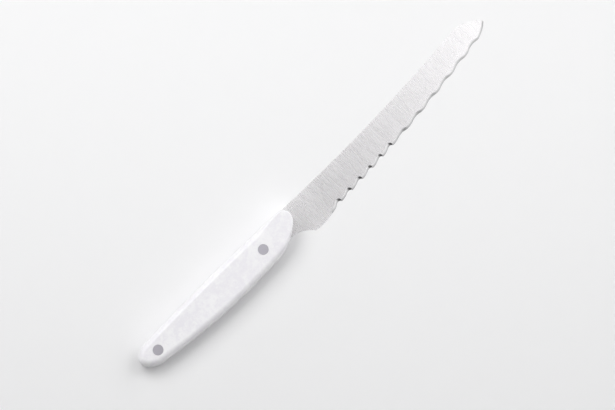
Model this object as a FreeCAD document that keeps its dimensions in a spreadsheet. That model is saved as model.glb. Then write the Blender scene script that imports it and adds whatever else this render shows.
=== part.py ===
import FreeCAD, Part
import math
import os

import Sketcher

# A bread knife that lies on its side. X runs along the knife from the butt of the handle to the tip,
# Y points from the cutting edge to the spine, and Z is up, across the thickness of the handle.
# The origin is under the middle of the handle, on the flat outer face of the lower scale, which the knife
# rests on. Sketches measure from the butt and from the line between butt and tip instead.
# Seven pieces: one steel blade with a full tang, two scales and two rivets of two halves each.

document = FreeCAD.newDocument("bread_knife")
sheet = document.addObject("Spreadsheet::Sheet", "dims")

DRIVING_SIZES = [
    # Overall lengths.
    ("knife_length", 320.0),
    ("handle_length", 139.0),
    # Thicknesses.
    ("stock_thickness", 1.8),
    ("scale_thickness", 6.6),
    ("scale_rounding", 4.0),
    # Handle outline: eight tangent arcs.
    ("back_crown_x", 58.0),
    ("back_crown_y", 7.1),
    ("back_radius", 1500.0),
    ("belly_low_x", 88.0),
    ("belly_low_y", -17.3),
    ("belly_radius", 444.0),
    ("butt_middle_y", -0.9),
    ("butt_radius", 5.0),
    ("butt_upper_radius", 13.0),
    ("butt_lower_radius", 15.0),
    ("nose_upper_radius", 5.6),
    ("nose_lower_radius", 8.5),
    ("belly_front_radius", 40.0),
    # Spine. A reach is measured forward from the handle's front end, a setback is measured back from it.
    ("spine_start_setback", 9.0),
    ("spine_low_reach", 51.0),
    ("spine_low_y", 3.9),
    ("spine_front_radius", 1300.0),
    ("point_length", 21.0),
    ("point_radius", 25.0),
    ("tip_radius", 2.0),
    # Choil and heel.
    ("blade_root_setback", 17.0),
    ("choil_start_setback", 13.0),
    ("choil_start_y", -12.2),
    ("choil_radius", 22.0),
    ("heel_corner_reach", 4.7),
    ("heel_corner_y", -20.5),
    ("heel_radius", 32.0),
    ("heel_end_reach", 20.6),
    ("heel_end_y", -20.2),
    # Line of the tooth points, one long arc.
    ("teeth_low_reach", 11.0),
    ("teeth_low_y", -19.3),
    ("teeth_radius", 1070.0),
    # Scallops behind, as many waves in front as there is room for, and a plain stretch at the point.
    ("scallop_pitch", 10.0),
    ("scallop_depth", 1.7),
    ("scallop_valley_share", 0.8),
    ("scallop_bend_share", 0.75),
    ("scallop_steep_turn", 60.0),
    ("wave_pitch", 15.0),
    ("wave_depth", 1.1),
    ("wave_valley_share", 0.69),
    ("wave_bend_share", 0.5),
    ("plain_edge_length", 10.0),
    ("edge_end_y", -2.3),
    ("edge_end_inset", 0.9),
    ("edge_end_turn", 22.0),
    # Grinds: the faces taper to a thin edge, and the edge is ground from the upper face only.
    ("grind_start_reach", 2.0),
    ("grind_full_reach", 22.0),
    ("spine_thickness_rear", 1.7),
    ("spine_thickness_tip", 1.2),
    ("edge_thickness", 0.7),
    ("bevel_run", 1.6),
    ("bevel_lean", -0.2),
    # Rivets.
    ("rear_rivet_x", 14.3),
    ("rear_rivet_y", -3.1),
    ("front_rivet_setback", 29.3),
    ("front_rivet_y", -5.4),
    ("rivet_head_diameter", 7.0),
    ("rivet_head_height", 2.5),
    ("rivet_sleeve_diameter", 5.0),
    ("rivet_pin_diameter", 3.0),
    ("rivet_pin_end_gap", 0.5),
    ("rivet_bore_cap", 1.2),
    ("rivet_recess", 0.05),
    ("rivet_clearance", 0.03),
]

SCALLOP_COUNT = 6

# Room that a cutting tool has beyond the steel.
CUTTER_MARGIN = 6.0


class Size:
    """A number together with the sheet formula that gives it."""

    def __init__(self, number, formula):
        self.number = float(number)
        self.formula = formula

    def __add__(self, other):
        other = as_size(other)
        return Size(self.number + other.number, f"({self.formula} + {other.formula})")

    def __radd__(self, other):
        return as_size(other) + self

    def __sub__(self, other):
        other = as_size(other)
        return Size(self.number - other.number, f"({self.formula} - {other.formula})")

    def __rsub__(self, other):
        return as_size(other) - self

    def __mul__(self, other):
        other = as_size(other)
        return Size(self.number * other.number, f"({self.formula} * {other.formula})")

    def __rmul__(self, other):
        return as_size(other) * self

    def __truediv__(self, other):
        other = as_size(other)
        return Size(self.number / other.number, f"({self.formula} / {other.formula})")

    def __neg__(self):
        return as_size(0) - self

    def root(self):
        return Size(math.sqrt(self.number), f"sqrt({self.formula})")


def as_size(value):
    return value if isinstance(value, Size) else Size(value, f"({value})")


def fill_sheet():
    """Write the driving sizes to the sheet and give them back as sizes by name."""
    sizes = {}
    for row, (name, number) in enumerate(DRIVING_SIZES, start=1):
        sheet.set(f"A{row}", name)
        sheet.set(f"B{row}", str(number))
        sheet.setAlias(f"B{row}", name)
        sizes[name] = Size(number, f"dims.{name}")
    document.recompute()
    return sizes


def place(body, x, y, z):
    """Put a body where it sits in the knife."""
    body.Placement.Base = FreeCAD.Vector(x.number, y.number, z.number)
    body.setExpression("Placement.Base.x", x.formula)
    body.setExpression("Placement.Base.y", y.formula)
    body.setExpression("Placement.Base.z", z.formula)


def origin_plane(body, role):
    return next(feature for feature in body.Origin.OriginFeatures if feature.Role == role)


def new_body(name):
    body = document.addObject("PartDesign::Body", name)
    body.Label = name
    return body


def new_sketch(body, name, role, offset=None):
    """A sketch on one of the body's origin planes, moved along the plane's normal by a size."""
    sketch = body.newObject("Sketcher::SketchObject", name)
    sketch.AttachmentSupport = (origin_plane(body, role), [""])
    sketch.MapMode = "FlatFace"
    if offset is not None:
        sketch.AttachmentOffset = FreeCAD.Placement(FreeCAD.Vector(0, 0, offset.number), FreeCAD.Rotation())
        sketch.setExpression("AttachmentOffset.Base.z", offset.formula)
    return sketch


def bind(sketch, kind, references, value, formula):
    """Add one dimension to a sketch and tie it to the sheet."""
    index = sketch.addConstraint(Sketcher.Constraint(kind, *references, value))
    sketch.setExpression(f"Constraints[{index}]", formula)


def place_point(sketch, geometry, point, x, y):
    bind(sketch, "DistanceX", (-1, 1, geometry, point), x.number, x.formula)
    bind(sketch, "DistanceY", (-1, 1, geometry, point), y.number, y.formula)


class Corner:
    """A corner of an outline. The side that leaves it is straight, or an arc that has either a radius or
    an angle that it turns through, to the left or to the right."""

    def __init__(self, x, y, radius=None, turn=None, left=True):
        self.x = x
        self.y = y
        self.radius = radius
        self.turn = turn
        self.left = left

    @property
    def point(self):
        return FreeCAD.Vector(self.x.number, self.y.number, 0)

    @property
    def straight(self):
        return self.radius is None and self.turn is None


def side_arc(corner, following):
    """The arc from one corner to the next, which the sketcher always runs anticlockwise."""
    start = corner.point
    end = following.point
    chord = end - start
    half = chord.Length / 2
    if corner.radius is not None:
        radius = corner.radius.number
    else:
        radius = half / math.sin(math.radians(corner.turn.number) / 2)
    to_left = FreeCAD.Vector(-chord.y, chord.x, 0).normalize()
    if not corner.left:
        to_left = -to_left
    centre = (start + end) / 2 + to_left * math.sqrt(radius ** 2 - half ** 2)
    first, last = (start, end) if corner.left else (end, start)
    start_angle = math.atan2(first.y - centre.y, first.x - centre.x)
    end_angle = math.atan2(last.y - centre.y, last.x - centre.x)
    circle = Part.Circle(centre, FreeCAD.Vector(0, 0, 1), radius)
    return Part.ArcOfCircle(circle, start_angle, end_angle)


def draw_outline(sketch, corners):
    """Close an outline through its corners, every corner and arc tied to the sheet."""
    starts = []
    ends = []
    for corner, following in zip(corners, corners[1:] + corners[:1]):
        if corner.straight:
            side = sketch.addGeometry(Part.LineSegment(corner.point, following.point))
        else:
            side = sketch.addGeometry(side_arc(corner, following))
        runs_forward = corner.straight or corner.left
        starts.append((side, 1 if runs_forward else 2))
        ends.append((side, 2 if runs_forward else 1))
    for number, corner in enumerate(corners):
        sketch.addConstraint(Sketcher.Constraint("Coincident", *ends[number - 1], *starts[number]))
        place_point(sketch, *starts[number], corner.x, corner.y)
        if corner.radius is not None:
            bind(sketch, "Radius", (starts[number][0],), corner.radius.number, corner.radius.formula)
        elif corner.turn is not None:
            turn = math.radians(corner.turn.number)
            bind(sketch, "Angle", (starts[number][0],), turn, f"{corner.turn.formula} * 1 deg")


class Ring:
    """A circle that one arc of the handle outline lies on."""

    def __init__(self, x, y, radius):
        self.centre = FreeCAD.Vector(x, y, 0)
        self.radius = radius


def touch_point(first, second):
    """Where two rings touch, one inside the other."""
    small, large = sorted((first, second), key=lambda ring: ring.radius.number)
    outward = (small.centre - large.centre).normalize()
    return small.centre + outward * small.radius.number


def ring_between(first, second, radius, left):
    """The ring of a given radius that touches two rings from inside or around, on one side of their line."""
    reach_first = abs(radius.number - first.radius.number)
    reach_second = abs(radius.number - second.radius.number)
    line = second.centre - first.centre
    along = (reach_first ** 2 - reach_second ** 2 + line.Length ** 2) / (2 * line.Length)
    across = math.sqrt(reach_first ** 2 - along ** 2)
    line.normalize()
    to_left = FreeCAD.Vector(-line.y, line.x, 0)
    centre = first.centre + line * along + to_left * (across if left else -across)
    return Ring(centre.x, centre.y, radius)


def handle_rings():
    """The rings of the handle outline, anticlockwise from the butt, each touching the next."""
    butt = Ring(size["butt_radius"].number, size["butt_middle_y"].number, size["butt_radius"])
    back_y = size["back_crown_y"] - size["back_radius"]
    back = Ring(size["back_crown_x"].number, back_y.number, size["back_radius"])
    belly_y = size["belly_low_y"] + size["belly_radius"]
    belly = Ring(size["belly_low_x"].number, belly_y.number, size["belly_radius"])
    butt_lower = ring_between(butt, belly, size["butt_lower_radius"], left=False)
    butt_upper = ring_between(butt, back, size["butt_upper_radius"], left=True)
    nose_x = (size["handle_length"] - size["nose_upper_radius"]).number
    reach = (size["back_radius"] - size["nose_upper_radius"]).number
    nose_y = back.centre.y + math.sqrt(reach ** 2 - (nose_x - back.centre.x) ** 2)
    nose_upper = Ring(nose_x, nose_y, size["nose_upper_radius"])
    nose_lower_x = (size["handle_length"] - size["nose_lower_radius"]).number
    nose_lower = Ring(nose_lower_x, nose_y, size["nose_lower_radius"])
    belly_front = ring_between(nose_lower, belly, size["belly_front_radius"], left=True)
    return {
        "butt": butt,
        "butt_lower": butt_lower,
        "belly": belly,
        "belly_front": belly_front,
        "nose_lower": nose_lower,
        "nose_upper": nose_upper,
        "back": back,
        "butt_upper": butt_upper,
    }


def draw_handle_outline(sketch):
    """Eight tangent arcs. The tang and both scales share them, so that the three pieces are flush."""
    rings = handle_rings()
    names = list(rings)
    arcs = {}
    for number, name in enumerate(names):
        ring = rings[name]
        start = touch_point(rings[names[number - 1]], ring)
        end = touch_point(ring, rings[names[(number + 1) % len(names)]])
        start_angle = math.atan2(start.y - ring.centre.y, start.x - ring.centre.x)
        end_angle = math.atan2(end.y - ring.centre.y, end.x - ring.centre.x)
        circle = Part.Circle(ring.centre, FreeCAD.Vector(0, 0, 1), ring.radius.number)
        arcs[name] = sketch.addGeometry(Part.ArcOfCircle(circle, start_angle, end_angle))
    for number, name in enumerate(names):
        sketch.addConstraint(Sketcher.Constraint("Tangent", arcs[names[number - 1]], 2, arcs[name], 1))
    for name in names:
        bind(sketch, "Radius", (arcs[name],), rings[name].radius.number, rings[name].radius.formula)
    place_point(sketch, arcs["butt"], 3, size["butt_radius"], size["butt_middle_y"])
    place_point(sketch, arcs["back"], 3, size["back_crown_x"], size["back_crown_y"] - size["back_radius"])
    place_point(sketch, arcs["belly"], 3, size["belly_low_x"], size["belly_low_y"] + size["belly_radius"])
    foremost = size["handle_length"]
    bind(sketch, "DistanceX", (-1, 1, arcs["nose_upper"], 1), foremost.number, foremost.formula)
    sketch.addConstraint(Sketcher.Constraint("Horizontal", arcs["nose_upper"], 1, arcs["nose_upper"], 3))


def on_long_arc(x, low_x, low_y, radius, rises):
    """The height at x of an arc whose lowest or highest point is given."""
    drop = radius - (radius * radius - (x - low_x) * (x - low_x)).root()
    return low_y + drop if rises else low_y - drop


def tooth_line(x):
    low_x = size["handle_length"] + size["teeth_low_reach"]
    return on_long_arc(x, low_x, size["teeth_low_y"], size["teeth_radius"], rises=True)


def spine_line(x):
    low_x = size["handle_length"] + size["spine_low_reach"]
    return on_long_arc(x, low_x, size["spine_low_y"], size["spine_front_radius"], rises=True)


def turn_between(rise, run):
    """The angle that each half of an S-shaped rise turns through, with both its ends level."""
    degrees = 2 * math.degrees(math.atan2(rise.number, run.number))
    return Size(degrees, f"(2 * atan({rise.formula} / {run.formula}) / 1 deg)")


def rise_corners(start_x, start_y, end_x, end_y, bend_share):
    """An S-shaped rise from a tooth point to a valley: the two corners that its two arcs leave."""
    run = end_x - start_x
    rise = end_y - start_y
    turn = turn_between(rise, run)
    bend_x = start_x + run * bend_share
    bend_y = start_y + rise * bend_share
    return [Corner(start_x, start_y, turn=turn, left=True), Corner(bend_x, bend_y, turn=turn, left=False)]


def scallop_corners(start_x, start_y):
    """One pointed scallop: a long rise from its tooth, then a short steep fall to the next."""
    valley_x = start_x + size["scallop_pitch"] * size["scallop_valley_share"]
    valley_y = tooth_line(valley_x) + size["scallop_depth"]
    rise = rise_corners(start_x, start_y, valley_x, valley_y, size["scallop_bend_share"])
    return rise + [Corner(valley_x, valley_y, turn=size["scallop_steep_turn"], left=False)]


def wave_corners(start_x, start_y):
    """One rounded wave: a long rise from its tooth, then a shorter fall that ends level."""
    valley_x = start_x + size["wave_pitch"] * size["wave_valley_share"]
    valley_y = tooth_line(valley_x) + size["wave_depth"]
    end_x = start_x + size["wave_pitch"]
    end_y = tooth_line(end_x)
    rise = rise_corners(start_x, start_y, valley_x, valley_y, size["wave_bend_share"])
    turn = turn_between(valley_y - end_y, end_x - valley_x)
    middle_x = (valley_x + end_x) / 2
    middle_y = (valley_y + end_y) / 2
    fall = [Corner(valley_x, valley_y, turn=turn, left=False), Corner(middle_x, middle_y, turn=turn, left=True)]
    return rise + fall


def edge_corners():
    """The path of the grinding wheel along the edge, closed by a box below the steel."""
    margin = CUTTER_MARGIN
    low_y = size["heel_corner_y"] - 2 * margin
    tooth_x = size["handle_length"] + size["heel_end_reach"]
    tooth_y = size["heel_end_y"]
    corners = [Corner(tooth_x - margin, low_y), Corner(tooth_x - margin, tooth_y - margin)]
    for _ in range(SCALLOP_COUNT):
        corners += scallop_corners(tooth_x, tooth_y)
        tooth_x = tooth_x + size["scallop_pitch"]
        tooth_y = tooth_line(tooth_x)
    wave_room = (size["knife_length"] - size["plain_edge_length"] - tooth_x).number
    for _ in range(round(wave_room / size["wave_pitch"].number)):
        corners += wave_corners(tooth_x, tooth_y)
        tooth_x = tooth_x + size["wave_pitch"]
        tooth_y = tooth_line(tooth_x)
    end_x = size["knife_length"] - size["edge_end_inset"]
    corners.append(Corner(tooth_x, tooth_y, turn=size["edge_end_turn"], left=True))
    corners.append(Corner(end_x, size["edge_end_y"]))
    corners.append(Corner(end_x + margin, size["edge_end_y"] + margin))
    corners.append(Corner(end_x + margin, low_y))
    return corners


def blade_corners():
    """The blade's outline from inside the tang, along the spine to the tip, and back by the heel."""
    start_x = size["handle_length"] - size["spine_start_setback"]
    crown = (size["back_crown_x"], size["back_crown_y"], size["back_radius"])
    start_y = on_long_arc(start_x, *crown, rises=False)
    low_x = size["handle_length"] + size["spine_low_reach"]
    low_y = size["spine_low_y"]
    run = low_x - start_x
    drop = start_y - low_y
    rear_radius = (run * run + drop * drop) / (2 * drop)
    point_x = size["knife_length"] - size["point_length"]
    point_y = spine_line(point_x)
    # The point's arc leaves the spine level with it, and the tip's arc fits inside the point's.
    lean_x = (point_x - low_x) / size["spine_front_radius"]
    lean_y = (1 - lean_x * lean_x).root()
    centre_x = point_x + size["point_radius"] * lean_x
    centre_y = point_y - size["point_radius"] * lean_y
    tip_x = size["knife_length"] - size["tip_radius"]
    reach = size["point_radius"] - size["tip_radius"]
    tip_rise = (reach * reach - (tip_x - centre_x) * (tip_x - centre_x)).root()
    scale_up = size["point_radius"] / reach
    shoulder_x = centre_x + (tip_x - centre_x) * scale_up
    shoulder_y = centre_y + tip_rise * scale_up
    low_edge_y = size["heel_corner_y"] - CUTTER_MARGIN / 2
    heel_end_x = size["handle_length"] + size["heel_end_reach"]
    heel_corner_x = size["handle_length"] + size["heel_corner_reach"]
    return [
        Corner(start_x, start_y, radius=rear_radius, left=True),
        Corner(low_x, low_y, radius=size["spine_front_radius"], left=True),
        Corner(point_x, point_y, radius=size["point_radius"], left=False),
        Corner(shoulder_x, shoulder_y, radius=size["tip_radius"], left=False),
        Corner(size["knife_length"], centre_y + tip_rise),
        Corner(size["knife_length"], low_edge_y),
        Corner(heel_end_x, low_edge_y),
        Corner(heel_end_x, size["heel_end_y"], radius=size["heel_radius"], left=False),
        Corner(heel_corner_x, size["heel_corner_y"], radius=size["choil_radius"], left=True),
        Corner(size["handle_length"] - size["choil_start_setback"], size["choil_start_y"]),
        Corner(size["handle_length"] - size["blade_root_setback"], size["butt_middle_y"]),
    ]


def pad(body, name, sketch, length, upward=True, both_ways=False):
    feature = body.newObject("PartDesign::Pad", name)
    feature.Profile = sketch
    feature.setExpression("Length", length.formula)
    if both_ways:
        feature.SideType = "Symmetric"
    feature.Reversed = not upward
    document.recompute()
    return feature


def draw_circle(sketch, x, y, diameter):
    circle = Part.Circle(FreeCAD.Vector(x.number, y.number, 0), FreeCAD.Vector(0, 0, 1), diameter.number / 2)
    index = sketch.addGeometry(circle)
    place_point(sketch, index, 3, x, y)
    bind(sketch, "Diameter", (index,), diameter.number, diameter.formula)


def pocket(body, name, sketch, length, upward):
    """Cut a sketch upward or downward, and make sure that steel or plastic is taken away."""
    volume_before = body.Shape.Volume
    feature = body.newObject("PartDesign::Pocket", name)
    feature.Profile = sketch
    feature.setExpression("Length", length.formula)
    feature.Reversed = upward
    document.recompute()
    if feature.Shape.Volume >= volume_before:
        raise ValueError(f"{name} cuts nothing")
    return feature


def face_section(body, name, x, spine, edge):
    """A slice across the blade of what the face grind takes away above one face. The spine and the edge
    are each a place along Y and half a thickness, and the slice runs past both."""
    spine_y, spine_half = spine
    edge_y, edge_half = edge
    taper = (spine_half - edge_half) / (spine_y - edge_y) * CUTTER_MARGIN
    back_y = spine_y + CUTTER_MARGIN
    front_y = edge_y - CUTTER_MARGIN
    ceiling = size["stock_thickness"]
    sketch = new_sketch(body, name, "YZ_Plane", x)
    draw_outline(sketch, [
        Corner(front_y, edge_half - taper),
        Corner(back_y, spine_half + taper),
        Corner(back_y, ceiling),
        Corner(front_y, ceiling),
    ])
    return sketch


def grind_faces(body):
    """Taper both faces from spine to edge, starting just ahead of the handle."""
    stock_half = size["stock_thickness"] / 2
    edge_half = size["edge_thickness"] / 2
    rear_half = size["spine_thickness_rear"] / 2
    tip_half = size["spine_thickness_tip"] / 2
    start_x = size["handle_length"] + size["grind_start_reach"]
    full_x = size["handle_length"] + size["grind_full_reach"]
    middle_x = (full_x + size["knife_length"]) / 2
    rear_y = size["spine_low_y"]
    tip_y = spine_line(size["knife_length"] - size["point_length"])
    heel_y = size["teeth_low_y"]
    sections = [
        face_section(body, "grind_start", start_x, (rear_y, stock_half), (heel_y, stock_half)),
        face_section(body, "grind_full", full_x, (rear_y, rear_half), (heel_y, edge_half)),
        face_section(body, "grind_middle", middle_x, (rear_y, (rear_half + tip_half) / 2),
                     (tooth_line(middle_x), edge_half)),
        face_section(body, "grind_end", size["knife_length"] + CUTTER_MARGIN, (tip_y, tip_half),
                     (size["edge_end_y"], edge_half)),
    ]
    volume_before = body.Shape.Volume
    upper = body.newObject("PartDesign::SubtractiveLoft", "upper_face_grind")
    upper.Profile = sections[0]
    upper.Sections = sections[1:]
    upper.Ruled = True
    document.recompute()
    both = body.newObject("PartDesign::Mirrored", "both_faces_ground")
    both.Originals = [upper]
    both.MirrorPlane = (origin_plane(body, "XY_Plane"), [""])
    body.Tip = both
    document.recompute()
    if both.Shape.Volume >= volume_before:
        raise ValueError("the face grind cuts nothing")


def make_blade():
    """Blade and full tang in one piece of steel, its middle plane at the height of the tang's middle."""
    body = new_body("blade")
    tang_outline = new_sketch(body, "tang_outline", "XY_Plane")
    draw_handle_outline(tang_outline)
    pad(body, "tang", tang_outline, size["stock_thickness"], both_ways=True)
    blade_outline = new_sketch(body, "blade_outline", "XY_Plane")
    draw_outline(blade_outline, blade_corners())
    pad(body, "blade_blank", blade_outline, size["stock_thickness"], both_ways=True)
    rivet_holes = new_sketch(body, "tang_holes", "XY_Plane", size["stock_thickness"] / 2)
    for x, y in rivet_places:
        draw_circle(rivet_holes, x, y, size["rivet_sleeve_diameter"] + 2 * size["rivet_clearance"])
    pocket(body, "tang_rivet_holes", rivet_holes, size["stock_thickness"], upward=False)
    grind_faces(body)
    grind_edge(body)
    place(body, -grip_x, -grip_y, middle_height)
    return body


def grind_edge(body):
    """Grind scallops and waves from the upper face, which leaves the lower face flat to the edge."""
    edge_half = size["edge_thickness"] / 2
    path = new_sketch(body, "edge_path", "XY_Plane", -edge_half)
    draw_outline(path, edge_corners())
    volume_before = body.Shape.Volume
    bevel = body.newObject("PartDesign::Pocket", "edge_bevel")
    bevel.Profile = path
    bevel.UseCustomVector = True
    bevel.Direction = FreeCAD.Vector(size["bevel_lean"].number, -size["bevel_run"].number,
                                     -size["edge_thickness"].number)
    bevel.AlongSketchNormal = True
    bevel.SideType = "Two sides"
    bevel.setExpression("Length", size["stock_thickness"].formula)
    bevel.setExpression("Length2", size["stock_thickness"].formula)
    document.recompute()
    if bevel.Shape.Volume >= volume_before:
        raise ValueError("the edge bevel cuts nothing")


def make_scale(name, upward):
    """One handle scale: flat against the tang, rounded all round its outer face, counterbored for rivets."""
    body = new_body(name)
    outline = new_sketch(body, f"{name}_outline", "XY_Plane")
    draw_handle_outline(outline)
    slab = pad(body, f"{name}_slab", outline, size["scale_thickness"], upward=upward)
    outer_height = size["scale_thickness"] if upward else -size["scale_thickness"]
    rim = []
    for number, edge in enumerate(slab.Shape.Edges, start=1):
        if all(abs(vertex.Z - outer_height.number) < 1e-6 for vertex in edge.Vertexes):
            rim.append(f"Edge{number}")
    rounding = body.newObject("PartDesign::Fillet", f"{name}_rounding")
    rounding.Base = (slab, rim)
    rounding.setExpression("Radius", size["scale_rounding"].formula)
    document.recompute()
    clearance = 2 * size["rivet_clearance"]
    sleeve_holes = new_sketch(body, f"{name}_sleeve_holes", "XY_Plane", outer_height)
    head_holes = new_sketch(body, f"{name}_head_holes", "XY_Plane", outer_height)
    for x, y in rivet_places:
        draw_circle(sleeve_holes, x, y, size["rivet_sleeve_diameter"] + clearance)
        draw_circle(head_holes, x, y, size["rivet_head_diameter"] + clearance)
    head_depth = size["rivet_head_height"] + size["rivet_recess"]
    pocket(body, f"{name}_sleeve_bores", sleeve_holes, size["scale_thickness"], upward=not upward)
    pocket(body, f"{name}_head_seats", head_holes, head_depth, upward=not upward)
    tang_half = size["stock_thickness"] / 2
    seat = middle_height + tang_half if upward else middle_height - tang_half
    place(body, -grip_x, -grip_y, seat)
    return body


def revolve_profile(body, name, corners):
    """Turn a half section about the body's Z axis."""
    sketch = new_sketch(body, f"{name}_section", "XZ_Plane")
    draw_outline(sketch, corners)
    turned = body.newObject("PartDesign::Revolution", f"{name}_turned")
    turned.Profile = sketch
    turned.ReferenceAxis = (sketch, ["V_Axis"])
    turned.Angle = 360
    document.recompute()


def make_rivet_pin_half(name, x, y):
    """The half whose head is in the lower scale: a head and a solid pin."""
    body = new_body(name)
    bottom = size["rivet_recess"]
    shoulder = bottom + size["rivet_head_height"]
    pin_top = sleeve_bore_top - size["rivet_pin_end_gap"]
    head_radius = size["rivet_head_diameter"] / 2
    pin_radius = size["rivet_pin_diameter"] / 2
    revolve_profile(body, name, [
        Corner(axis, bottom),
        Corner(head_radius, bottom),
        Corner(head_radius, shoulder),
        Corner(pin_radius, shoulder),
        Corner(pin_radius, pin_top),
        Corner(axis, pin_top),
    ])
    place(body, x - grip_x, y - grip_y, table_height)
    return body


def make_rivet_sleeve_half(name, x, y):
    """The half whose head is in the upper scale: a head and a sleeve that the pin is pressed into."""
    body = new_body(name)
    top = handle_thickness - size["rivet_recess"]
    shoulder = top - size["rivet_head_height"]
    sleeve_bottom = size["rivet_recess"] + size["rivet_head_height"]
    head_radius = size["rivet_head_diameter"] / 2
    sleeve_radius = size["rivet_sleeve_diameter"] / 2
    bore_radius = size["rivet_pin_diameter"] / 2 + size["rivet_clearance"]
    revolve_profile(body, name, [
        Corner(axis, sleeve_bore_top),
        Corner(bore_radius, sleeve_bore_top),
        Corner(bore_radius, sleeve_bottom),
        Corner(sleeve_radius, sleeve_bottom),
        Corner(sleeve_radius, shoulder),
        Corner(head_radius, shoulder),
        Corner(head_radius, top),
        Corner(axis, top),
    ])
    place(body, x - grip_x, y - grip_y, table_height)
    return body


def check_and_write(bodies):
    """Refuse a failed feature or a bad solid, then write one file for each piece."""
    for item in document.Objects:
        if "Invalid" in item.State or "Error" in item.State:
            raise ValueError(f"{item.Label} failed: {item.State}")
        if item.TypeId == "Sketcher::SketchObject" and not item.FullyConstrained:
            raise ValueError(f"{item.Label} isn't fully constrained")
    for body in bodies:
        shape = body.Shape
        if shape.isNull() or not shape.isValid() or len(shape.Solids) != 1:
            raise ValueError(f"{body.Label} isn't one valid solid")
    os.makedirs("parts", exist_ok=True)
    for body in bodies:
        body.Shape.exportStep(f"parts/{body.Label}.step")
        box = body.Shape.BoundBox
        print(f"{body.Label}: {body.Shape.Volume:.1f} mm3, x {box.XMin:.2f} to {box.XMax:.2f},"
              f" y {box.YMin:.2f} to {box.YMax:.2f}, z {box.ZMin:.2f} to {box.ZMax:.2f}")


size = fill_sheet()
handle_thickness = 2 * size["scale_thickness"] + size["stock_thickness"]
table_height = as_size(0)
middle_height = size["scale_thickness"] + size["stock_thickness"] / 2
grip_x = size["handle_length"] / 2
grip_y = (size["back_crown_y"] + size["belly_low_y"]) / 2
axis = as_size(0)
sleeve_bore_top = handle_thickness - size["rivet_recess"] - size["rivet_bore_cap"]
rivet_places = [
    (size["rear_rivet_x"], size["rear_rivet_y"]),
    (size["handle_length"] - size["front_rivet_setback"], size["front_rivet_y"]),
]

pieces = [
    make_blade(),
    make_scale("upper_scale", upward=True),
    make_scale("lower_scale", upward=False),
    make_rivet_sleeve_half("rear_rivet_sleeve_half", *rivet_places[0]),
    make_rivet_pin_half("rear_rivet_pin_half", *rivet_places[0]),
    make_rivet_sleeve_half("front_rivet_sleeve_half", *rivet_places[1]),
    make_rivet_pin_half("front_rivet_pin_half", *rivet_places[1]),
]
document.recompute()
check_and_write(pieces)
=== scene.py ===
"""Looks of the bread knife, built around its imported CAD: a ground steel blade, two white scales and
two rivets of two halves each."""
import math

import bpy
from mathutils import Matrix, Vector


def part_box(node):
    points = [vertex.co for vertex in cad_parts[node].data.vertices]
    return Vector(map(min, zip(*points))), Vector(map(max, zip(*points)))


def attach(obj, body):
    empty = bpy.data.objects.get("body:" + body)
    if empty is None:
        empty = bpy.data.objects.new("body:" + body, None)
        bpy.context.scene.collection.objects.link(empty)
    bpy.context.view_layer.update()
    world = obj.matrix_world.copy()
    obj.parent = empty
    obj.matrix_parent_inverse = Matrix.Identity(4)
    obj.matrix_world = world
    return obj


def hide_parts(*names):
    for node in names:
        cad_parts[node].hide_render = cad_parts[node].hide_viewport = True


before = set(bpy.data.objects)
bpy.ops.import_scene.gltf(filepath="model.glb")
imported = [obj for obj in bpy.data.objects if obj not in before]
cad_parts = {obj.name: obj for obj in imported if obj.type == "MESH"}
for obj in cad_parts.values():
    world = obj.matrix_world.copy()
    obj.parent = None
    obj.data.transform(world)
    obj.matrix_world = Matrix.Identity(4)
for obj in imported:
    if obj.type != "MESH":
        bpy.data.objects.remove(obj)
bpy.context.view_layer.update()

MM = 0.001
HANDLE_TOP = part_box("upper_scale")[1].z
TANG_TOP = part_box("upper_scale")[0].z
MIDDLE_HEIGHT = HANDLE_TOP / 2

# The handle outline, anticlockwise from the butt: each arc's middle in mm, its turn in degrees and its
# number of steps.
OUTLINE_START = (-67.9717, 7.7982)
OUTLINE_ARCS = [
    (-64.5000, 4.2000, 76.691, 16),
    (-55.8985, 9.3005, 49.346, 12),
    (18.5000, 431.8000, 13.071, 40),
    (40.2370, 28.3852, 38.150, 24),
    (61.0000, 4.6966, 48.765, 14),
    (63.9000, 4.6966, 87.108, 22),
    (-11.5000, -1487.8000, 4.721, 40),
    (-58.9452, -1.5571, 42.147, 12),
]
# The rim rounding, and the share of it that is left at the nose, past a stretch where it fades.
RIM_ROUNDING = 4.0 * MM
RIM_STEPS = 12
NOSE_ROUNDING_SHARE = 0.25
NOSE_ROUNDING_FROM = 40.0 * MM
NOSE_ROUNDING_TO = 62.0 * MM
# The outline's two ends are joined across a gap this wide.
OUTLINE_CLOSING = 0.05 * MM
# Points this near each other are one, and points this near a height are level with it.
SAME_POINT = 0.001 * MM
LEVEL = 0.01 * MM

# The parts of the blade faces' normals along Z: flats from here up, walls up to here, bevel in between.
FLAT_FROM = 0.97
WALL_UP_TO = 0.1
BEVEL_FROM = 0.2
BEVEL_UP_TO = 0.985
EDGE_BREAK = 0.2 * MM
# Facets that turn this little are one flat, and corners sharper than this stay crisp, in degrees.
FLAT_TURN = 0.3
BLADE_CORNER = 12.0
# The blade faces are crowned along a line near the spine, on a long radius.
CROWN_LINE = 4.0 * MM
CROWN_RADIUS = 350.0 * MM
# Heights between which the bevel's painted shade at its foot brightens, its colour brightens again to a
# painted highlight at its crest, and the spine's break is painted dark as a painted reflection.
BEVEL_FOOT_PAINTED_SHADE = (7.08 * MM, 7.40 * MM)
BEVEL_CREST_PAINTED_HIGHLIGHT = (7.60 * MM, 7.85 * MM)
SPINE_BREAK_PAINTED_DARK = (8.10 * MM, 8.20 * MM)

# The rivets, and the room that their seats leave round and under the heads.
HEAD_SIDES = 64
HEAD_RADIUS = 3.5 * MM
HEAD_HEIGHT = 2.5 * MM
HEAD_RIM = 0.2 * MM
SEAT_CLEARANCE = 0.03 * MM
SEAT_DEPTH = 2.55 * MM
SEAT_FLARE = 0.12 * MM
SLEEVE_RADIUS = 2.5 * MM
BORE_RADIUS = 1.53 * MM
BORE_CAP = 1.2 * MM
PIN_RADIUS = 1.5 * MM
PIN_CHAMFER = 0.3 * MM

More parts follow.
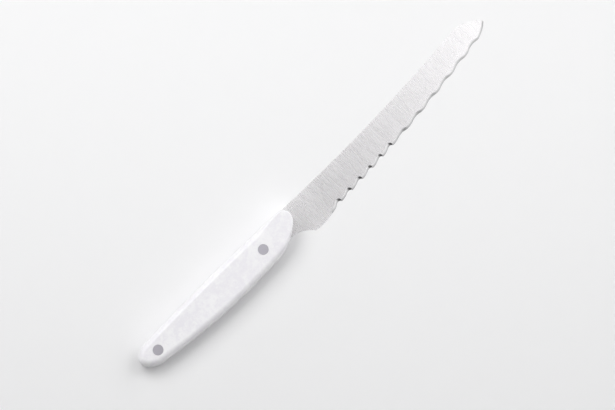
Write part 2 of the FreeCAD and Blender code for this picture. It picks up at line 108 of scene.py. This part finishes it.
# Each light: its name, where it stands, where it points, its width and height, and how bright its face is.
KNIFE = (0.08, 0.0, 0.0)
SOFTBOXES = [
    ("spine_softbox", (0.080, 0.688, 0.983), KNIFE, 0.8, 0.8, 3.45),
    ("point_softbox", (0.929, 0.000, 0.849), KNIFE, 0.8, 0.8, 1.90),
    ("left_softbox", (-0.465, 0.545, 0.919), KNIFE, 0.8, 0.8, 1.20),
    ("right_softbox", (0.625, -0.545, 0.919), KNIFE, 1.2, 1.2, 0.96),
    ("heel_panel", (0.12, 0.10, 0.80), (0.12, 0.10, 0.0), 0.35, 0.6, 0.49),
    ("point_panel", (0.40, 0.10, 0.80), (0.40, 0.10, 0.0), 0.35, 0.6, 0.85),
]
TABLE_SIDE = 12.0

# Where the camera looks from, in degrees and metres, what it looks at, and its lens in mm.
CAMERA_AZIMUTH = -45.235
CAMERA_ELEVATION = 84.0
CAMERA_DISTANCE = 3.0
CAMERA_TARGET = (0.08205, 0.00030, 0.0075)
CAMERA_LENS = 266.64


class Value:
    """An output of some nodes. A sum or a product of values adds its Math nodes."""

    def __init__(self, finish, socket):
        self.finish = finish
        self.socket = socket

    def __add__(self, other):
        return self.finish.math("ADD", self, other)

    def __radd__(self, other):
        return self.finish.math("ADD", other, self)

    def __sub__(self, other):
        return self.finish.math("SUBTRACT", self, other)

    def __rsub__(self, other):
        return self.finish.math("SUBTRACT", other, self)

    def __mul__(self, other):
        return self.finish.math("MULTIPLY", self, other)

    def __rmul__(self, other):
        return self.finish.math("MULTIPLY", other, self)


class Finish:
    """The nodes of a material or of the room, with one method that adds any node."""

    def __init__(self, owner):
        owner.use_nodes = True
        self.owner = owner
        self.tree = owner.node_tree
        self.tree.nodes.clear()

    def add(self, kind, settings=None, inputs=None, output=0):
        """A node of this kind. Its settings come first, then the values or links of its sockets."""
        node = self.tree.nodes.new(kind)
        for name, choice in (settings or {}).items():
            setattr(node, name, choice)
        for name, value in (inputs or {}).items():
            if isinstance(value, Value):
                self.tree.links.new(value.socket, node.inputs[name])
            else:
                node.inputs[name].default_value = value
        return Value(self, node.outputs[output]) if node.outputs else None

    def math(self, operation, first, second):
        """Two numbers joined by this operation."""
        return self.add("ShaderNodeMath", {"operation": operation}, {0: first, 1: second})

    def place(self):
        """The place on the knife, in metres."""
        return self.add("ShaderNodeTexCoord", output="Object")

    def stretched(self, scale):
        """The place on the knife with each axis scaled, which draws a pattern out along the small ones."""
        return self.add("ShaderNodeMapping", None, {"Vector": self.place(), "Scale": scale})

    def coordinate(self, axis):
        """The place along one axis, in metres."""
        return self.add("ShaderNodeSeparateXYZ", None, {"Vector": self.place()}, output=axis)

    def noise(self, vector, scale, detail=2.0, roughness=0.5, distortion=0.0):
        """Noise of this many spots to the metre."""
        inputs = {"Vector": vector, "Scale": scale, "Detail": detail, "Roughness": roughness,
                  "Distortion": distortion}
        return self.add("ShaderNodeTexNoise", None, inputs)

    def between(self, value, low, high, to_low=0.0, to_high=1.0):
        """The value moved from one range to another, smoothly and held at both ends."""
        settings = {"interpolation_type": "SMOOTHSTEP"}
        inputs = {"Value": value, 1: low, 2: high, 3: to_low, 4: to_high}
        return self.add("ShaderNodeMapRange", settings, inputs)

    def mix_colour(self, share, first, second):
        """The first colour, or this share of the way to the second."""
        inputs = {0: share, 6: first, 7: second}
        return self.add("ShaderNodeMix", {"data_type": "RGBA"}, inputs, output=2)

    def bump(self, height, strength, distance):
        """The surface raised by this height."""
        inputs = {"Strength": strength, "Distance": distance, "Height": height}
        return self.add("ShaderNodeBump", None, inputs)

    def close(self, inputs):
        """The finished material: a Principled shader with these inputs."""
        shader = self.add("ShaderNodeBsdfPrincipled", None, inputs)
        self.add("ShaderNodeOutputMaterial", None, {"Surface": shader})
        return self.owner


def satin_blade_steel():
    """Satin blade steel, ground very slightly convex and brushed finely across from spine to edge."""
    steel = Finish(bpy.data.materials.new("satin_blade_steel"))
    fine = steel.noise(steel.stretched((1.0, 0.03, 0.03)), 3200.0, detail=2.0, roughness=0.6)
    broad = steel.noise(steel.stretched((1.0, 0.05, 0.05)), 700.0, detail=2.0)
    streaks = fine * 0.75 + broad * 0.25
    share = steel.between(streaks, 0.35, 0.65)
    from_crown = steel.coordinate("Y") - CROWN_LINE
    crown = from_crown * from_crown * (-0.5 / CROWN_RADIUS)
    brushing = fine * 0.0000012
    return steel.close({
        "Base Color": steel.mix_colour(share, (0.850, 0.835, 0.85, 1), (0.875, 0.86, 0.875, 1)),
        "Metallic": 1.0,
        "Roughness": steel.between(streaks, 0.3, 0.7, 0.25, 0.30),
        "Normal": steel.bump(crown + brushing, 1.0, 1.0),
    })


def ground_edge_steel_painted_light():
    """The edge bevel, with painted shade darkening it down at the cutting edge, a painted highlight at its
    crest, and the spine's break painted dark as a painted reflection.
    """
    steel = Finish(bpy.data.materials.new("ground_edge_steel_painted_light"))
    lines = steel.noise(steel.stretched((1.0, 0.1, 0.1)), 2600.0, detail=2.0, roughness=0.6)
    height = steel.coordinate("Z")
    ground = steel.mix_colour(lines, (0.66, 0.65, 0.66, 1), (0.76, 0.75, 0.76, 1))
    # Painted highlight: the bevel's colour brightens to near white towards its crest.
    crest_painted_highlight = steel.mix_colour(steel.between(height, *BEVEL_CREST_PAINTED_HIGHLIGHT), ground, (0.97, 0.965, 0.97, 1))
    # Painted shade: the bevel's colour darkens to near black at its foot along the cutting edge.
    bevel = steel.mix_colour(steel.between(height, *BEVEL_FOOT_PAINTED_SHADE), (0.16, 0.16, 0.17, 1), crest_painted_highlight)
    return steel.close({
        # Painted reflection: the faces of the spine's edge break are coloured near black, standing in for
        # the dark they reflect.
        "Base Color": steel.mix_colour(steel.between(height, *SPINE_BREAK_PAINTED_DARK), bevel, (0.14, 0.14, 0.15, 1)),
        "Metallic": 1.0,
        "Roughness": 0.30,
        "Normal": steel.bump(lines, 0.15, 0.00003),
    })


def pearly_white_resin():
    """Polished white resin with faint pearly clouds."""
    resin = Finish(bpy.data.materials.new("pearly_white_resin"))
    clouds = resin.noise(resin.place(), 110.0, detail=4.0, roughness=0.6, distortion=0.8)
    flakes = resin.noise(resin.place(), 420.0, detail=2.0, roughness=0.5, distortion=1.2)
    pearl = resin.between(clouds * 0.6 + flakes * 0.4, 0.38, 0.62)
    return resin.close({
        "Base Color": resin.mix_colour(pearl, (0.86, 0.845, 0.885, 1), (0.93, 0.925, 0.94, 1)),
        "Roughness": 0.34,
        "Coat Weight": 0.25,
        "Coat Roughness": 0.2,
        "IOR": 1.5,
    })


def satin_rivet_steel():
    """Satin rivet steel, greyer than the blade."""
    steel = Finish(bpy.data.materials.new("satin_rivet_steel"))
    grain = steel.noise(steel.place(), 3000.0, detail=2.0)
    return steel.close({
        "Base Color": steel.mix_colour(grain, (0.42, 0.405, 0.45, 1), (0.48, 0.465, 0.51, 1)),
        "Metallic": 1.0,
        "Roughness": 0.4,
    })


def matt_white_table():
    """Matt white paint, faintly mottled."""
    paint = Finish(bpy.data.materials.new("matt_white_table"))
    mottle = paint.noise(paint.place(), 60.0)
    return paint.close({
        "Base Color": paint.mix_colour(mottle, (0.90, 0.90, 0.905, 1), (0.91, 0.91, 0.915, 1)),
        "Roughness": 0.9,
        "Specular IOR Level": 0.1,
    })


def in_edit_mode(piece, kind):
    """Edit the piece, with faces, edges or points to be picked."""
    bpy.context.view_layer.objects.active = piece
    bpy.ops.object.mode_set(mode="EDIT")
    bpy.ops.mesh.select_mode(type=kind)


def in_object_mode():
    """Stop editing."""
    bpy.ops.object.mode_set(mode="OBJECT")


def deselect_all(mesh):
    """Nothing in this mesh is picked."""
    for parts in (mesh.vertices, mesh.edges, mesh.polygons):
        parts.foreach_set("select", [False] * len(parts))


def pick_faces(piece, wanted):
    """Edit the piece with the faces picked whose middle is wanted."""
    in_object_mode()
    deselect_all(piece.data)
    for face in piece.data.polygons:
        face.select = wanted(face.center)
    in_edit_mode(piece, "FACE")


def pick_edges(piece, wanted):
    """Edit the piece with the edges picked whose two ends are wanted."""
    in_object_mode()
    mesh = piece.data
    deselect_all(mesh)
    for edge in mesh.edges:
        first, second = (mesh.vertices[number].co for number in edge.vertices)
        edge.select = wanted(first, second)
    in_edit_mode(piece, "EDGE")


def start_piece(name):
    """The primitive that was just added becomes this piece, and its object goes to the origin."""
    piece = bpy.context.object
    piece.name = name
    piece.data.name = name
    bpy.ops.object.transform_apply(location=True, rotation=True, scale=True)
    return piece


def nothing_selected():
    """No object is selected."""
    bpy.ops.object.select_all(action="DESELECT")


def only(piece):
    """This object alone is selected and active."""
    nothing_selected()
    piece.select_set(True)
    bpy.context.view_layer.objects.active = piece


def apply_modifier(piece, kind, settings):
    """Add a modifier of this kind to the piece, and apply it."""
    only(piece)
    modifier = piece.modifiers.new(kind.lower(), kind)
    for name, choice in settings.items():
        setattr(modifier, name, choice)
    bpy.ops.object.modifier_apply(modifier=modifier.name)


def finish_shading(piece, sharp_from=30.0):
    """Smooth shading with crisp corners, and flat faces kept flat beside their rounded edges."""
    only(piece)
    bpy.ops.object.shade_smooth_by_angle(angle=math.radians(sharp_from))
    apply_modifier(piece, "WEIGHTED_NORMAL", {"keep_sharp": True})


def edit_whole(piece, kind="FACE"):
    """Edit the piece with all of it picked."""
    in_edit_mode(piece, kind)
    bpy.ops.mesh.select_all(action="SELECT")


def face_outwards():
    """While editing: pick the whole piece and turn its faces outwards."""
    bpy.ops.mesh.select_all(action="SELECT")
    bpy.ops.mesh.normals_make_consistent(inside=False)


def give_finish(piece, *finishes):
    """The piece has these materials and no others."""
    piece.data.materials.clear()
    for finish in finishes:
        piece.data.materials.append(finish)


def extrude_by(rise):
    """Extrude what is picked upwards, or downwards if the rise is negative."""
    bpy.ops.mesh.extrude_region_move(TRANSFORM_OT_translate={"value": (0.0, 0.0, rise)})


def copy_piece(piece, name):
    """A copy with a mesh of its own."""
    twin = piece.copy()
    twin.data = piece.data.copy()
    twin.name = name
    twin.data.name = name
    bpy.context.scene.collection.objects.link(twin)
    return twin


def draw_handle_outline(piece):
    """Spin one point through the eight arcs of the handle outline, and close them into a sheet."""
    in_edit_mode(piece, "VERT")
    for x, y, turn, steps in OUTLINE_ARCS:
        centre = (x * MM, y * MM, TANG_TOP)
        bpy.ops.mesh.spin(steps=steps, angle=-math.radians(turn), center=centre, axis=(0.0, 0.0, 1.0))
    bpy.ops.mesh.select_all(action="SELECT")
    bpy.ops.mesh.remove_doubles(threshold=OUTLINE_CLOSING)
    bpy.ops.mesh.edge_face_add()
    in_object_mode()


def start_with_point(name, x, y, z):
    """A small square gathered into one point."""
    nothing_selected()
    bpy.ops.mesh.primitive_plane_add(size=1.0 * MM, location=(x, y, z))
    piece = start_piece(name)
    edit_whole(piece, "VERT")
    bpy.ops.mesh.merge(type="CENTER")
    bpy.ops.mesh.select_all(action="SELECT")
    in_object_mode()
    return piece


def rim_share(x):
    """How much of the rim rounding is left this far along the handle: all of it, then less at the nose."""
    run = min(max((x - NOSE_ROUNDING_FROM) / (NOSE_ROUNDING_TO - NOSE_ROUNDING_FROM), 0.0), 1.0)
    ease = run * run * (3 - 2 * run)
    return 1.0 - (1.0 - NOSE_ROUNDING_SHARE) * ease


def round_rim(piece):
    """Round the outer rim fully along the back, belly and butt, and less round the nose."""
    mesh = piece.data
    weights = mesh.attributes.new("bevel_weight_edge", "FLOAT", "EDGE")
    for edge in mesh.edges:
        first, second = (mesh.vertices[number].co for number in edge.vertices)
        if min(first.z, second.z) > HANDLE_TOP - LEVEL:
            weights.data[edge.index].value = rim_share((first.x + second.x) / 2)
    apply_modifier(piece, "BEVEL", {
        "limit_method": "WEIGHT",
        "offset_type": "OFFSET",
        "width": RIM_ROUNDING,
        "use_clamp_overlap": False,
        "segments": RIM_STEPS,
    })


def add_seat_cutter(x, y, radius, floor_height):
    """A plug the shape of a rivet seat, flared a little at its mouth."""
    nothing_selected()
    bpy.ops.mesh.primitive_circle_add(vertices=HEAD_SIDES, radius=radius, fill_type="NGON",
                                      location=(x, y, floor_height))
    cutter = start_piece("seat_cutter")
    edit_whole(cutter)
    extrude_by(HANDLE_TOP - SEAT_FLARE - floor_height)
    extrude_by(SEAT_FLARE * 2)
    wider = (radius + 2 * SEAT_FLARE) / radius
    bpy.ops.transform.resize(value=(wider, wider, 1.0), center_override=(x, y, HANDLE_TOP))
    face_outwards()
    in_object_mode()
    return cutter


def cut_seats(scale):
    """Sink a seat for each rivet head into the outer face."""
    for node in ("rear_rivet_sleeve_half", "front_rivet_sleeve_half"):
        low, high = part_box(node)
        radius = (high.x - low.x) / 2 + SEAT_CLEARANCE
        cutter = add_seat_cutter((low.x + high.x) / 2, (low.y + high.y) / 2, radius, HANDLE_TOP - SEAT_DEPTH)
        apply_modifier(scale, "BOOLEAN", {"operation": "DIFFERENCE", "object": cutter, "solver": "EXACT"})
        bpy.data.objects.remove(cutter)


def make_upper_scale(finish):
    """The upper scale, flat against the tang and rounded round its outer face."""
    scale = start_with_point("upper_scale_body", OUTLINE_START[0] * MM, OUTLINE_START[1] * MM, TANG_TOP)
    draw_handle_outline(scale)
    edit_whole(scale)
    extrude_by(HANDLE_TOP - TANG_TOP)
    face_outwards()
    in_object_mode()
    round_rim(scale)
    cut_seats(scale)
    finish_shading(scale)
    give_finish(scale, finish)
    return scale


def make_lower_scale(upper):
    """The upper scale again, mirrored through the middle of the knife."""
    scale = copy_piece(upper, "lower_scale_body")
    only(scale)
    edit_whole(scale)
    bpy.ops.transform.resize(value=(1.0, 1.0, -1.0), center_override=(0.0, 0.0, MIDDLE_HEIGHT))
    face_outwards()
    in_object_mode()
    finish_shading(scale)
    return scale


def break_outline_edges(blade):
    """Break the sharp edges where the blade's flat faces meet its spine, choil, heel and tang walls."""
    mesh = blade.data
    flat_sides = [0] * len(mesh.edges)
    wall_sides = [0] * len(mesh.edges)
    for face in mesh.polygons:
        for loop in face.loop_indices:
            edge = mesh.loops[loop].edge_index
            flat_sides[edge] += abs(face.normal.z) > FLAT_FROM
            wall_sides[edge] += abs(face.normal.z) < WALL_UP_TO
    weights = mesh.attributes.new("bevel_weight_edge", "FLOAT", "EDGE")
    for edge in mesh.edges:
        if flat_sides[edge.index] and wall_sides[edge.index]:
            weights.data[edge.index].value = 1.0
    apply_modifier(blade, "BEVEL", {
        "limit_method": "WEIGHT",
        "offset_type": "OFFSET",
        "width": EDGE_BREAK,
        "segments": 1,
    })


def make_blade(faces_finish, edge_finish):
    """The blade with its tang: the CAD shape, merged, with its outline edges broken."""
    blade = copy_piece(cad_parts["blade"], "blade_and_tang")
    blade.parent = None
    for key in list(blade.keys()):
        del blade[key]
    only(blade)
    if blade.data.has_custom_normals:
        bpy.ops.mesh.customdata_custom_splitnormals_clear()
    edit_whole(blade)
    bpy.ops.mesh.remove_doubles(threshold=SAME_POINT)
    bpy.ops.mesh.dissolve_limited(angle_limit=math.radians(FLAT_TURN))
    in_object_mode()
    give_finish(blade, faces_finish, edge_finish)
    for face in blade.data.polygons:
        if BEVEL_FROM < face.normal.z < BEVEL_UP_TO:
            face.material_index = 1
    break_outline_edges(blade)
    edit_whole(blade)
    bpy.ops.mesh.quads_convert_to_tris(quad_method="BEAUTY", ngon_method="BEAUTY")
    bpy.ops.mesh.dissolve_degenerate(threshold=SAME_POINT)
    in_object_mode()
    finish_shading(blade, sharp_from=BLADE_CORNER)
    return blade


def start_rivet_head(name, x, y, shoulder, rise):
    """A round head standing on its shoulder, with its outer rim broken, and its shoulder face picked."""
    nothing_selected()
    bpy.ops.mesh.primitive_circle_add(vertices=HEAD_SIDES, radius=HEAD_RADIUS, fill_type="NGON",
                                      location=(x, y, shoulder))
    head = start_piece(name)
    edit_whole(head)
    extrude_by(rise)
    face_outwards()
    outer = shoulder + rise
    pick_edges(head, lambda first, second: abs(first.z - outer) + abs(second.z - outer) < LEVEL)
    bpy.ops.mesh.bevel(offset=HEAD_RIM, segments=3, affect="EDGES")
    pick_faces(head, lambda middle: abs(middle.z - shoulder) < LEVEL)
    return head


def make_sleeve_half(name, node, finish):
    """The half whose head shows in the upper scale: a head and a sleeve, bored for the pin."""
    low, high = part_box(node)
    x, y = (low.x + high.x) / 2, (low.y + high.y) / 2
    shoulder = high.z - HEAD_HEIGHT
    half = start_rivet_head(name, x, y, shoulder, HEAD_HEIGHT)
    bpy.ops.mesh.inset(thickness=HEAD_RADIUS - SLEEVE_RADIUS)
    extrude_by(low.z - shoulder)
    bpy.ops.mesh.inset(thickness=SLEEVE_RADIUS - BORE_RADIUS)
    extrude_by(high.z - BORE_CAP - low.z)
    in_object_mode()
    return finish_rivet_half(half, finish)


def make_pin_half(name, node, finish):
    """The half whose head is in the lower scale: a head and a solid pin with a chamfered end."""
    low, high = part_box(node)
    x, y = (low.x + high.x) / 2, (low.y + high.y) / 2
    shoulder = low.z + HEAD_HEIGHT
    half = start_rivet_head(name, x, y, shoulder, -HEAD_HEIGHT)
    bpy.ops.mesh.inset(thickness=HEAD_RADIUS - PIN_RADIUS)
    extrude_by(high.z - PIN_CHAMFER - shoulder)
    extrude_by(PIN_CHAMFER)
    narrower = (PIN_RADIUS - PIN_CHAMFER) / PIN_RADIUS
    bpy.ops.transform.resize(value=(narrower, narrower, 1.0), center_override=(x, y, high.z))
    in_object_mode()
    return finish_rivet_half(half, finish)


def finish_rivet_half(half, finish):
    """Faces turned outwards, shading and steel for a rivet half."""
    in_edit_mode(half, "FACE")
    face_outwards()
    in_object_mode()
    finish_shading(half)
    give_finish(half, finish)
    return half


def copy_to_front(half, name, rear_node, front_node):
    """A copy of a rear rivet half, moved forward to the front rivet's place."""
    twin = copy_piece(half, name)
    only(twin)
    edit_whole(twin, "VERT")
    bpy.ops.transform.translate(value=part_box(front_node)[0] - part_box(rear_node)[0])
    in_object_mode()
    return twin


def add_table():
    """The plain pale table that the knife lies on."""
    nothing_selected()
    bpy.ops.mesh.primitive_plane_add(size=TABLE_SIDE, location=(0.0, 0.0, 0.0))
    table = bpy.context.object
    table.name = "table"
    table.data.materials.append(matt_white_table())


def aim(thing, target):
    """Turn a light or the camera towards the target."""
    thing.rotation_euler = (target - thing.location).to_track_quat("-Z", "Y").to_euler()


def add_softbox(name, centre, target, width, height, brightness):
    """A soft panel of this width and height whose face has this brightness."""
    lamp = bpy.data.lights.new(name, "AREA")
    lamp.shape = "RECTANGLE"
    lamp.size = width
    lamp.size_y = height
    lamp.energy = brightness * math.pi * width * height
    box = bpy.data.objects.new(name, lamp)
    bpy.context.scene.collection.objects.link(box)
    box.location = centre
    aim(box, Vector(target))
    box.visible_camera = False


def light_studio():
    """The softboxes and panels, and a dim room that is pale only low down, least of all in front."""
    for softbox in SOFTBOXES:
        add_softbox(*softbox)
    room = Finish(bpy.data.worlds.new("dim_room"))
    bpy.context.scene.world = room.owner
    direction = room.add("ShaderNodeTexCoord", output="Generated")
    height = room.add("ShaderNodeSeparateXYZ", None, {"Vector": direction}, output="Z")
    to_front = (-0.7071, -0.7071, 0.0)
    forward = room.add("ShaderNodeVectorMath", {"operation": "DOT_PRODUCT"}, {0: direction, 1: to_front},
                       output="Value")
    low_down = room.between(height, 0.15, 0.5, 0.88, 0.0)
    strength = low_down * room.between(forward, 0.2, 0.8, 1.0, 0.4)
    sky = room.add("ShaderNodeBackground", None, {"Color": (1.0, 1.0, 1.0, 1), "Strength": strength})
    room.add("ShaderNodeOutputWorld", None, {"Surface": sky})
    bpy.context.scene.view_settings.view_transform = "Standard"


def set_camera():
    """Almost straight down, from far off, with the knife slanting up to the right."""
    azimuth = math.radians(CAMERA_AZIMUTH)
    elevation = math.radians(CAMERA_ELEVATION)
    target = Vector(CAMERA_TARGET)
    away = math.cos(elevation)
    back = Vector((math.sin(azimuth) * away, -math.cos(azimuth) * away, math.sin(elevation)))
    lens = bpy.data.cameras.new("studio_camera")
    lens.sensor_width = 36.0
    lens.lens = CAMERA_LENS
    lens.clip_end = 50.0
    camera = bpy.data.objects.new("studio_camera", lens)
    bpy.context.scene.collection.objects.link(camera)
    camera.location = target + back * CAMERA_DISTANCE
    aim(camera, target)
    bpy.context.scene.camera = camera


def seat_on_frame(piece, node):
    """The piece moves with the knife, and the CAD node that it stands for is hidden."""
    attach(piece, "root")
    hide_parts(node)


resin = pearly_white_resin()
blade = make_blade(satin_blade_steel(), ground_edge_steel_painted_light())
seat_on_frame(blade, "blade")
upper_scale = make_upper_scale(resin)
lower_scale = make_lower_scale(upper_scale)
seat_on_frame(upper_scale, "upper_scale")
seat_on_frame(lower_scale, "lower_scale")
rivet_steel = satin_rivet_steel()
for name, make_half in (("sleeve_half", make_sleeve_half), ("pin_half", make_pin_half)):
    rear_node = f"rear_rivet_{name}"
    front_node = f"front_rivet_{name}"
    rear_half = make_half(f"rear_{name}", rear_node, rivet_steel)
    front_half = copy_to_front(rear_half, f"front_{name}", rear_node, front_node)
    seat_on_frame(rear_half, rear_node)
    seat_on_frame(front_half, front_node)
# The real blade leaves almost no shade on the table, so this one hides from shadows and bounced light.
blade.visible_shadow = False
blade.visible_diffuse = False
add_table()
light_studio()
set_camera()
